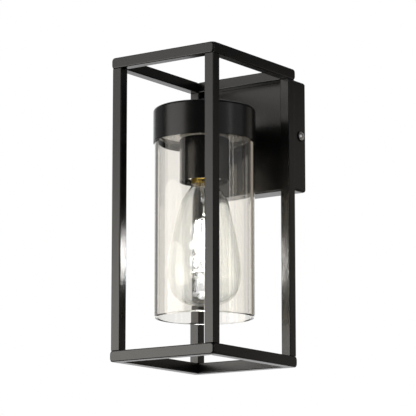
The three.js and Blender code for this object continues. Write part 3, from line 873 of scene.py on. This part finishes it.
@dataclass
class Canopy(Assembly):
    """The pressed steel wall canopy with what fastens it and what it hides."""

    sheet: float = 1.2
    corner: float = 3.0
    front_edge: float = 2.0       # drawn round of the front, outside
    inner_edge: float = 1.0       # and inside
    rim_edge: float = 0.35        # chamfer of the trimmed rim
    drain: float = 2.5
    thread_radius: float = 2.0
    thread_pitch: float = 0.7
    thread_depth: float = 0.35
    clearance: float = 0.3        # room round the screws' threads
    seal_edge: float = 0.25
    head: float = 2.2             # height of a side screw's dome

    def build(self) -> None:
        """Make the canopy and its side screws, and dress the pieces inside."""
        self._shell()
        for side in Side:
            self._cover_seal(side)
            self._cover_screw(side)
        self.keep(RUBBER, 0, "wall_gasket")
        self.keep(ZINC, 0.3, "wall_bracket")
        self.keep(NYLON, 0.4, "terminal_block")
        screws = [f"frame_screw_{level}_{side.word}" for level in ("upper", "lower") for side in Side]
        self.keep(ZINC, 0.15, *screws, "terminal_screw")
        self.keep(BRASS, 0, "terminal_clamp_live", "terminal_clamp_neutral")
        self.keep(BRASS, 0.15, "earth_screw")

    def _shell(self) -> None:
        """Make the pressed shell: a pan open towards the wall, with a drawn front edge."""
        box = Extent.of("wall_canopy")
        rim, face, sheet = box.high.y, box.low.y, self.sheet
        edge, fold = self.front_edge, self.inner_edge
        outer = [(self.rim_edge, rim), (0.0, rim - self.rim_edge)]
        outer += [(edge - x, face + edge - y) for x, y in arc((0, 0), edge, 0, 90, 8)]
        outer += [(edge + 0.3, face), (edge + 1.5, face)]      # these keep the flat face's shading true
        inner = [(sheet, rim)]
        inner += [(sheet + fold - x, face + sheet + fold - y) for x, y in arc((0, 0), fold, 0, 90, 4)]

        def loop(inset: float, y: float) -> Loop:
            """Give the outline this far in from the canopy's sides, at one depth."""
            width, height = box.size.x - 2 * inset, box.size.z - 2 * inset
            points = rounded_rectangle(width, height, max(self.corner - inset, 0.6))
            return [Vector((box.centre.x + u, y, box.centre.z + v)) for u, v in points]

        loops = [loop(*step) for step in braced(inner[::-1] + outer, False)]
        shell = Form().loft(loops).piece("canopy_shell")
        screw = Extent.of("cover_screw_left").centre
        carve(
            shell,
            self._drill(self.drain, 5, 32, Axis.UP.place((0, face / 2, box.low.z))),
            self._drill(self.thread_radius + self.clearance, 70, 24,
                        Axis.RIGHT.place((0, screw.y, screw.z))),
        )
        self.dress(shell, BLACK_COAT, "wall_canopy")

    @staticmethod
    def _drill(radius: float, reach: float, segments: int, place: Matrix) -> Form:
        """Make a round cutter that reaches as far both ways along its axis."""
        return Form().revolve([(0, -reach), (radius, -reach), (radius, reach), (0, reach)], segments, place)

    @staticmethod
    def _outward(side: Side, box: Extent, slide: float) -> Matrix:
        """Stand a turned piece facing outward, slide millimetres out from its box's middle."""
        return side.axis.place(box.centre + Vector((side.value * slide, 0, 0)))

    def _cover_seal(self, side: Side) -> None:
        """Make the rubber washer under a side screw's head.

        Args:
            side: left or right.
        """
        box = Extent.of(f"cover_seal_{side.word}")
        radius, thick = box.size.z / 2, box.size.x
        hole, lip = self.thread_radius + self.clearance, self.seal_edge
        profile = [(hole, 0), (radius - lip, 0), *arc((radius - lip, lip), lip, -90, 0, 4),
                   *arc((radius - lip, thick - lip), lip, 0, 90, 4), (hole, thick)]
        seal = Form().revolve(profile, 48, self._outward(side, box, -thick / 2))
        self.dress(seal.piece(f"screw_seal_{side.word}"), RUBBER, f"cover_seal_{side.word}",
                   f"cover_screw_{side.word}")

    def _cover_screw(self, side: Side) -> None:
        """Make a dome-head machine screw with a cross recess and a cut thread.

        Args:
            side: left or right.
        """
        node = f"cover_screw_{side.word}"
        box, tall, shank, pitch = Extent.of(node), self.head, self.thread_radius, self.thread_pitch
        radius, long = box.size.z / 2, box.size.x
        place = self._outward(side, box, long / 2 - tall)
        ball = (radius ** 2 + tall ** 2) / (2 * tall)
        rise = math.degrees(math.asin((ball - tall) / ball))
        thread = []
        for i in range(int((long - tall - 1.2) / pitch)):
            foot = -1.0 - i * pitch
            thread += [(shank, foot), (shank - self.thread_depth, foot - pitch / 2)]
        profile = [(0, tall), *arc((0, tall - ball), ball, 90, rise, 14)[1:-1], (radius, 0.35),
                   (radius - 0.2, 0), (shank, 0), *thread, (shank - 0.5, tall - long), (0, tall - long)]
        screw = Form().revolve(profile, 48, place).piece(f"dome_screw_{side.word}")
        carve(screw, *(self._recess_blade(place, radius, turn) for turn in (45, 135)))
        self.dress(screw, SCREW_NICKEL, node, node)

    def _recess_blade(self, place: Matrix, radius: float, turn: float) -> Form:
        """Make one tapered blade that cuts the cross recess.

        Args:
            place: where the screw stands.
            radius: its head's radius.
            turn: the blade's angle in degrees.

        Returns:
            The cutter.
        """
        spin = place @ Matrix.Rotation(math.radians(turn), 4, "Z")
        loops = []
        for height, half, thick in (
            (self.head + 0.5, 0.6 * radius, 0.5), (self.head * 0.35, 0.25 * radius, 0.3),
        ):
            corners = ((half, thick), (-half, thick), (-half, -thick), (half, -thick))
            loops.append([spin @ Vector((x, y, height)) for x, y in corners])
        return Form().loft(loops)


@dataclass
class Arm(Assembly):
    """The short arm between the canopy and the cap, on a threaded nipple."""

    wall: float = 1.2
    gap: float = 0.3              # room between the coped end and the cap

    def build(self) -> None:
        """Dress the arm's pieces."""
        self._tube()
        self.keep(ZINC, 0, "arm_nipple", "arm_washer_canopy", "arm_washer_cap")
        self.keep(ZINC, 0.3, "arm_nut_canopy", "arm_nut_cap")

    def _tube(self) -> None:
        """Make the arm tube, its far end coped to the cap's round wall."""
        box, cap = Extent.of("arm_tube"), Extent.of("lamp_cap")
        radius, segments = box.size.x / 2, 72

        def end(size: float, angle: float, coped: bool) -> Vector:
            """Give a point on the end at the cap or at the canopy, size millimetres off the axis."""
            x, z = size * math.cos(angle), size * math.sin(angle)
            reach = math.sqrt((cap.size.x / 2 + self.gap) ** 2 - x * x)
            y = cap.centre.y + reach if coped else box.high.y
            return Vector((x, y, box.centre.z + z))

        corners = ((radius, False), (radius, True), (radius - self.wall, True), (radius - self.wall, False))
        loops = [[end(size, 2 * math.pi * i / segments, coped) for size, coped in corners]
                 for i in range(segments)]
        self.dress(Form().loft(loops, wrap=True).piece("arm_sleeve_tube"), BLACK_COAT, "arm_tube")


@dataclass
class Shade(Assembly):
    """The drawn cap, the glass cylinder under it, the black sleeve, and the stack that clamps them."""

    cap_sheet: float = 1.0
    cap_edge: float = 3.0
    glass_wall: float = 3.5
    glass_disc: float = 4.0
    glass_hole: float = 21.0
    glass_hole_edge: float = 0.6
    glass_shoulder: float = 6.0
    sleeve_wall: float = 1.1
    sleeve_edge: float = 2.0
    nipple_hole: float = 5.3
    stud: float = 2.0
    stud_length: float = 9.0
    stud_x: float = 36.0

    def build(self) -> None:
        """Make the visible shells and dress the stack inside."""
        self._cap()
        self._glass()
        self._sleeve()
        self.keep(SILICONE, 0, "shade_gasket_upper", "shade_gasket_lower")
        self.keep(ZINC, 0.25, "cap_bridge", "bridge_nut_left", "bridge_nut_right", "locknut_upper",
                  "locknut_lower")
        self.keep(ZINC, 0, "lamp_nipple", "shade_backing_disc")

    def _cap(self) -> None:
        """Make the drawn cap, with a trimmed and rolled lower lip and two welded studs."""
        radius, low, top = Extent.of("lamp_cap").turned
        sheet, edge, lip = self.cap_sheet, self.cap_edge, self.cap_sheet / 2
        cap = Form().revolve([
            *arc((radius - lip, low + lip), lip, 180, 360, 8),
            *arc((radius - edge, top - edge), edge, 0, 90, 10), (0, top), (0, top - sheet),
            *arc((radius - edge, top - edge), edge - sheet, 90, 0, 8),
        ], 144)
        foot, head = top - self.stud_length, top - sheet / 2
        for side in Side:
            stud = [(0, foot), (self.stud, foot), (self.stud, head), (0, head)]
            cap.revolve(stud, 24, LAMP_AXIS @ Matrix.Translation((side.value * self.stud_x, 0, 0)))
        self.dress(cap.piece("drawn_cap"), BLACK_COAT, "lamp_cap")

    def _glass(self) -> None:
        """Make the glass cylinder: closed top with a hole, round shoulder, fire-polished lower rim."""
        radius, low, top = Extent.of("glass_shade").turned
        wall, shoulder, disc = self.glass_wall, self.glass_shoulder, top - self.glass_disc
        inner, ease, hole = shoulder - wall, self.glass_hole_edge, self.glass_hole + self.glass_hole_edge
        glass = Form().revolve([
            *arc((radius - wall / 2, low + wall / 2), wall / 2, -180, 0, 14),
            *arc((radius - shoulder, top - shoulder), shoulder, 0, 90, 12),
            *arc((hole, top - ease), ease, 90, 180, 4), *arc((hole, disc + ease), ease, 180, 270, 4),
            *arc((radius - wall - inner, disc - inner), inner, 90, 0, 8),
        ], 192)
        self.dress(glass.piece("glass_cylinder"), SHADE_GLASS, "glass_shade")

    def _sleeve(self) -> None:
        """Make the sleeve that hides the lampholder, with a rolled lower lip."""
        radius, low, top = Extent.of("lamp_sleeve").turned
        wall, edge, lip = self.sleeve_wall, self.sleeve_edge, self.sleeve_wall / 2
        sleeve = Form().revolve([
            *arc((radius - lip, low + lip), lip, 180, 360, 8),
            *arc((radius - edge, top - edge), edge, 0, 90, 6),
            (self.nipple_hole, top), (self.nipple_hole, top - wall),
            *arc((radius - edge, top - edge), edge - wall, 90, 0, 4),
        ], 112)
        self.dress(sleeve.piece("holder_sleeve"), BLACK_COAT, "lamp_sleeve")


@dataclass(frozen=True)
class Thread:
    """A rolled round thread on a tube of thin sheet."""

    crest: float
    root: float
    pitch: float = 3.63           # seven turns to the inch
    segments: int = 72            # facets round
    steps: int = 12               # facets along one pitch
    run_in: float = 2.4           # over which the thread rises at the tube's lower end
    run_out: float = 2.0          # and fades at its upper end

    def tube(self, low: float, high: float, sheet: float) -> Form:
        """Make the threaded tube about the lamp's axis.

        Args:
            low: the height of its lower end.
            high: the height of its upper end.
            sheet: its thickness, measured inward.

        Returns:
            The tube's form.
        """
        count = max(8, round((high - low) / self.pitch * self.steps))
        heights = [low + (high - low) * i / count for i in range(count + 1)]

        def ring(height: float, inward: float) -> Loop:
            """Give the loop at one height, this far in from the outer skin."""
            fade = max(0.0, min(1.0, (height - low) / self.run_in, (high - height) / self.run_out))
            points = []
            for angle in (2 * math.pi * i / self.segments for i in range(self.segments)):
                wave = 0.5 + 0.5 * math.cos(2 * math.pi * height / self.pitch - angle)
                r = self.crest - (self.crest - self.root) * (1 - wave) * fade - inward
                points.append(LAMP_AXIS @ Vector((r * math.cos(angle), r * math.sin(angle), height)))
            return points

        outside, inside = ([ring(height, inward) for height in heights] for inward in (0.0, sheet))
        return Form().loft(outside + inside[::-1], wrap=True)


@dataclass
class Holder(Assembly):
    """The porcelain lampholder with its threaded shell and centre contact."""

    bore: float = 14.6
    bore_edge: float = 0.8
    web: Point = (23.8, 27.8)     # heights of the web over the body's foot
    contact_hole: float = 2.4
    pocket: float = 10.0
    sheet: float = 0.5
    thread_depth: float = 0.35
    flange: float = 21.8          # height of the shell's flange over its foot
    flange_hole: float = 5.6
    tab_x: float = 7.0

    def build(self) -> None:
        """Make the body and shell and dress the rest."""
        self._body()
        self._shell()
        self.keep(BRASS, 0.2, "centre_contact")
        self.keep(ZINC, 0, "holder_bush")

    def _body(self) -> None:
        """Make the glazed body, with softened arrises."""
        radius, low, top = Extent.of("lampholder_body").turned
        bore, ease, (web_low, web_high) = self.bore, self.bore_edge, (low + rise for rise in self.web)
        body = Form().revolve([
            *arc((bore + ease, low + ease), ease, 180, 270, 4),
            *arc((radius - 1.4, low + 1.4), 1.4, -90, 0, 6), *arc((radius - 2, top - 2), 2, 0, 90, 6),
            (self.pocket, top), (self.pocket, web_high), (self.contact_hole, web_high),
            (self.contact_hole, web_low), (bore, web_low),
        ], 80)
        self.dress(body.piece("porcelain_body"), PORCELAIN, "lampholder_body")

    def _shell(self) -> None:
        """Make the brass shell: a rolled thread hung from an inward flange, with a solder tab."""
        radius, low, top = Extent.of("screw_shell").turned
        flange, hole = low + self.flange, self.flange_hole
        under = flange - self.sheet
        shell = Thread(radius, radius - self.thread_depth).tube(low, under, self.sheet)
        shell.revolve([(hole, flange), (radius, flange), (radius, under), (hole, under)], 72)
        corners = ((0.6, 1.1), (-0.6, 1.1), (-0.6, -1.1), (0.6, -1.1))
        shell.loft([[LAMP_AXIS @ Vector((self.tab_x + x, y, z)) for x, y in corners]
                    for z in (flange - 0.3, top)])
        self.dress(shell.piece("threaded_shell"), BRASS, "screw_shell")


@dataclass
class Bulb(Assembly):
    """The screw-in filament bulb, which unscrews as one body."""

    outline: tuple[Point, ...] = (
        (12.2, -58), (15.6, -62.5), (20, -68.4), (23.3, -75), (26.8, -87), (30.8, -105), (34.4, -124),
        (36.2, -140), (35.9, -152), (32.2, -164.5), (23.4, -173), (12, -176.9), (0, -177.8),
    )
    glass: float = 0.7
    cap_sheet: float = 0.5
    thread_depth: float = 0.9
    skirt: float = 3.0            # plain part of the cap below its thread
    shoulder: float = 3.6         # and above it
    bead_bore: float = 4.7
    rods: int = 10
    rod_radius: float = 1.2
    rod_foot: float = 26.0        # height of the bent wires between the rods and the lower ring
    upper_ring: float = 8.0
    ring_room: float = 0.7        # from the rings' wire to the filaments' box
    tail: float = 1.6             # the straight wire above a rod
    wire: float = 0.3
    foot_wire: float = 0.45
    bend: float = 3.2             # how far a bent wire swings in, and in radians round
    swing: float = 0.5

    def build(self) -> None:
        """Make every piece of the bulb."""
        self._envelope()
        self._cap()
        self._insulator()
        self._tip()
        self._stem()
        self._filaments()

    def _envelope(self) -> None:
        """Make the blown envelope, a thin wall that follows its outline."""
        neck = Extent.of("bulb_envelope").high.z
        outer = [Vector((self.outline[0][0], neck))] + spline(self.outline, 10)
        inner = []
        for i, here in enumerate(outer):
            before, after = outer[max(i - 1, 0)], outer[min(i + 1, len(outer) - 1)]
            along = (after - before).normalized()
            inner.append(here + Vector((along.y, -along.x)) * self.glass)
        inner[0] = Vector((outer[0].x - self.glass, neck))
        inner[-1] = Vector((0, outer[-1].y + self.glass))
        profile = [(max(p.x, 0.0), p.y) for p in inner[::-1] + outer]
        envelope = Form().revolve(profile, 128).piece("blown_envelope", BLOWN)
        self.dress(envelope, BULB_GLASS, "bulb_envelope", BULB)

    def _cap(self) -> None:
        """Make the brass screw cap: skirt, rolled thread, and a shoulder up to the insulator."""
        radius, low, top = Extent.of("bulb_screw_cap").turned
        start, end, inside = low + self.skirt, top - self.shoulder, radius - self.cap_sheet
        cap = Thread(radius, radius - self.thread_depth).tube(start, end, self.cap_sheet)
        cap.revolve([(inside, low), (radius, low), (radius, start), (inside, start)], 72)
        cap.revolve([
            (radius, end), *arc((radius - 1.6, end + 1.4), 1.6, 0, 80, 6), (11.2, top), (10.9, top),
            (10.9, top - 1.4), (radius - 1.2, end),
        ], 72)
        self.dress(cap.piece("edison_cap"), BRASS, "bulb_screw_cap", BULB)

    def _insulator(self) -> None:
        """Make the black glass bead between the shell and the tip."""
        radius, low, top = Extent.of("bulb_insulator").turned
        bead = Form().revolve([
            (self.bead_bore, low), (radius, low), *arc((radius - 1.2, top - 1.4), 1.2, 0, 90, 6),
            (6.0, top), (self.bead_bore, top),
        ], 64)
        self.dress(bead.piece("vitrite_bead"), VITRITE, "bulb_insulator", BULB)

    def _tip(self) -> None:
        """Make the solder-tipped centre contact."""
        radius, low, top = Extent.of("bulb_tip_contact").turned
        tip = Form().revolve([
            (0, low), (radius, low), (radius, low + 2.4), *arc((radius - 1, low + 2.6), 1.0, 0, 60, 4),
            (1.6, top - 0.2), (0, top),
        ], 48)
        self.dress(tip.piece("tip_contact"), BRASS, "bulb_tip_contact", BULB)

    def _stem(self) -> None:
        """Make the pressed glass stem that carries the filaments."""
        radius, low, top = Extent.of("bulb_stem").turned
        knots = (
            (0, top), (2.2, top), (radius, top - 2), (radius, top - 17), (2.4, top - 25), (1.5, top - 33),
            (1.5, top - 41), (2.5, top - 43), (1.6, low + 0.3), (0, low),
        )
        profile = [(max(p.x, 0.0), p.y) for p in spline(knots, 5)]
        profile[0], profile[-1] = (0.0, top), (0.0, low)
        stem = Form().revolve(profile, 40).piece("pressed_stem", BLOWN)
        self.dress(stem, STEM_GLASS, "bulb_stem", BULB)

    def _filaments(self) -> None:
        """Make the glowing rods, and the wires that hold them between an upper and a lower ring."""
        box = Extent.of("bulb_filaments")
        top, bottom = box.high.z - self.ring_room, box.low.z + self.ring_room
        upper, lower = self.upper_ring, box.size.x / 2 - self.ring_room
        foot = upper + (lower - upper) * (1 - self.rod_foot / (top - bottom))

        def at(radius: float, turn: float, height: float) -> Vector:
            """Give the point at a radius, an angle and a height in the bulb."""
            return LAMP_AXIS @ Vector((radius * math.cos(turn), radius * math.sin(turn), height))

        rods, wires = Form(), Form()
        for i in range(self.rods):
            turn = 2 * math.pi * (i + 0.5) / self.rods
            high, low = at(upper, turn, top - self.tail), at(foot, turn, bottom + self.rod_foot)
            rods.sweep([high, high.lerp(low, 0.5), low], self.rod_radius, 12)
            wires.sweep([at(upper, turn, top), high], self.wire, 8)
            bends = [at(foot - self.bend * (k % 2), turn + self.swing * math.sin(2.1 * k + i),
                        bottom + self.rod_foot * (1 - k / 6)) for k in range(1, 6)]
            wires.sweep(spline([low, *bends, at(lower, turn, bottom)], 4), self.foot_wire, 8)
        for radius, height in ((upper, top), (lower, bottom)):
            wires.revolve(arc((radius, height), self.wire, 0, 360, 8)[:-1], 64)
        lit = self.dress(rods.piece("filament_rods"), FILAMENT, "bulb_filaments", BULB)
        lit.active_material.cycles.emission_sampling = "NONE"
        held = self.dress(wires.piece("filament_carrier"), LEAD_WIRE, None, BULB)
        for piece in (lit, held):             # the studio's Glow lights the lantern in their place
            piece.visible_glossy = piece.visible_diffuse = piece.visible_shadow = False


@dataclass
class Wires(Assembly):
    """The three insulated wires inside the canopy, arm and cap."""

    def build(self) -> None:
        """Dress the wires."""
        self.keep(SHEATH_LIVE, 0, "wire_live")
        self.keep(SHEATH_NEUTRAL, 0, "wire_neutral")
        self.keep(SHEATH_EARTH, 0, "wire_earth")


# ---- Studio ----

def direction(azimuth: float, elevation: float) -> Vector:
    """Point a unit vector from the lantern.

    Args:
        azimuth: degrees round from the lantern's front, positive to its right.
        elevation: degrees up.

    Returns:
        The vector.
    """
    a, e = math.radians(azimuth), math.radians(elevation)
    return Vector((math.sin(a) * math.cos(e), -math.cos(a) * math.cos(e), math.sin(e)))


@dataclass(frozen=True)
class Panel:
    """A soft light of even brightness, facing the lantern."""

    name: str
    azimuth: float                # degrees round from the lantern's front, positive to its right
    elevation: float
    distance: float               # metres
    width: float                  # metres
    height: float
    radiance: float               # how bright its face looks, with 1 as white
    colour: str = "#ffffff"
    through: bool = True          # it can be seen through glass

    def light(self, aim: Vector) -> None:
        """Make the light.

        Args:
            aim: where it faces.
        """
        data = bpy.data.lights.new(self.name, "AREA")
        data.shape, data.size, data.size_y = "RECTANGLE", self.width, self.height
        data.energy = self.radiance * math.pi * self.width * self.height
        data.color = linear(self.colour)[:3]
        lamp = put(self.name, data)
        away = direction(self.azimuth, self.elevation)
        lamp.location = aim + away * self.distance
        lamp.rotation_mode = "QUATERNION"
        lamp.rotation_quaternion = away.to_track_quat("Z", "Y")
        lamp.visible_camera, lamp.visible_transmission = False, self.through


@dataclass(frozen=True)
class Glow:
    """The light that the filaments throw, from a row of soft globes down the middle of the bulb."""

    radiance: float = 26.0
    radius: float = 10.0
    globes: int = 3
    colour: str = "#f9f9ff"

    def light(self) -> None:
        """Make the globes."""
        box, radius = Extent.of("bulb_filaments"), self.radius * MM
        for i in range(1, self.globes + 1):
            data = bpy.data.lights.new(f"filament_glow_{i}", "POINT")
            data.shadow_soft_size = radius
            data.energy = self.radiance * 4 * math.pi ** 2 * radius ** 2
            data.color = linear(self.colour)[:3]
            lamp = put(data.name, data)
            height = box.low.z + box.size.z * i / (self.globes + 1)
            lamp.location = Vector((box.centre.x, box.centre.y, height)) * MM
            lamp.visible_camera = lamp.visible_transmission = False


@dataclass
class Studio:
    """The pale floor, the white room, the soft lights and the camera."""

    floor_drop: float = 1.5       # metres from the cage's foot to the floor
    floor_reach: float = 60.0     # metres from its middle to its sides
    azimuth: float = 35.0
    elevation: float = -10.286
    distance: float = 2.2974      # metres from the cage's middle
    aside: float = 0.0035         # metres the camera stands to the right of its aim
    above: float = 0.00465        # and above it
    lens: float = 202.3
    dim: float = 0.05             # how bright the room is away from the lights
    white_azimuth: float = -145.0  # the side of the room that is white to what glass guides there
    white_spread: float = 0.6     # the cosine of that side's reach
    panels: tuple[Panel, ...] = (
        Panel("key_softbox", -33, 10, 1.6, 1.36, 1.9, 1.5, "#fffbf5"),
        Panel("low_softbox", -33, -9, 1.55, 1.32, 0.95, 2.6, "#fffbf5"),
        Panel("strip_softbox", 94, 8, 1.6, 0.07, 1.5, 3.0),
        Panel("backdrop", -145, 8, 1.6, 2.0, 2.0, 0.95, through=False),
        Panel("side_fill", 96, 5, 2.0, 2.6, 1.6, 0.34),
        Panel("left_fill", -86, 5, 2.0, 1.9, 1.6, 0.2),
        Panel("warm_fill", 156, -2, 2.0, 0.9, 1.3, 0.32, "#fff3e4"),
    )

    def build(self) -> None:
        """Set up everything round the lantern."""
        cage = Extent.of("top_rail_front", "top_rail_back", "bottom_rail_front", "bottom_rail_back")
        aim = cage.centre * MM
        bpy.context.scene.view_settings.view_transform = "Standard"
        self._room()
        self._floor(cage.low.z * MM - self.floor_drop)
        for panel in self.panels:
            panel.light(aim)
        Glow().light()
        self._camera(aim)

    def _room(self) -> None:
        """Make a room that looks white but lights the lantern only dimly."""
        world = bpy.data.worlds.new("studio")
        world.use_nodes = True
        bpy.context.scene.world = world
        tree = world.node_tree
        tree.nodes.clear()
        path = add_node(tree, "LightPath").outputs
        bounces = add_node(tree, "Math", {
            0: path["Glossy Depth"], 1: path["Diffuse Depth"],
        }, operation="ADD")
        straight = add_node(tree, "Math", {0: bounces, 1: 0.5}, operation="LESS_THAN")
        ahead = add_node(tree, "VectorMath", {
            0: add_node(tree, "TexCoord").outputs["Generated"], 1: direction(self.white_azimuth, 0),
        }, operation="DOT_PRODUCT")
        behind = add_node(tree, "Math", {0: ahead, 1: self.white_spread}, operation="GREATER_THAN")
        inside = add_node(tree, "Math", {0: path["Transmission Depth"], 1: 0.5}, operation="GREATER_THAN")
        guided = add_node(tree, "Math", {0: behind, 1: inside}, operation="MULTIPLY")
        seen = add_node(tree, "Math", {0: straight, 1: guided}, operation="MAXIMUM")
        dim = add_node(tree, "Background", {"Color": "#f4f4f6", "Strength": self.dim})
        white = add_node(tree, "Background", {"Color": "#ffffff", "Strength": 1.0})
        mixed = add_node(tree, "MixShader", {0: seen, 1: dim, 2: white})
        add_node(tree, "OutputWorld", {"Surface": mixed})

    def _floor(self, height: float) -> None:
        """Make a wide plain floor.

        Args:
            height: its top, in metres.
        """
        reach = self.floor_reach / MM
        corners = [Vector((x * reach, y * reach, 0)) for x, y in ((1, 1), (-1, 1), (-1, -1), (1, -1))]
        under = [corner + Vector((0, 0, height - 0.01)) for corner in corners]
        floor = Form().loft([under, corners]).piece("floor")
        floor.location.z = height
        floor.data.materials.append(StudioFloor("pale painted floor").material())

    def _camera(self, aim: Vector) -> None:
        """Set up the camera: a long lens, slightly below the lantern.

        Args:
            aim: the point that it looks past.
        """
        back = direction(self.azimuth, self.elevation)
        right = direction(self.azimuth + 90, 0)
        data = bpy.data.cameras.new("camera")
        data.lens, data.sensor_width = self.lens, 36.0
        camera = put("camera", data)
        bpy.context.scene.camera = camera
        camera.location = aim + back * self.distance + right * self.aside + back.cross(right) * self.above
        camera.rotation_mode = "QUATERNION"
        camera.rotation_quaternion = back.to_track_quat("Z", "Y")


def main() -> None:
    """Build the studio and then the lantern, sub-assembly by sub-assembly."""
    logging.basicConfig(level=logging.INFO, format="%(name)s: %(message)s")
    Studio().build()
    for assembly in (Cage(), Canopy(), Arm(), Shade(), Holder(), Bulb(), Wires()):
        assembly.build()
        log.info("%s: %d pieces made", type(assembly).__name__, len(assembly.made))


if __name__ == "__main__":
    main()
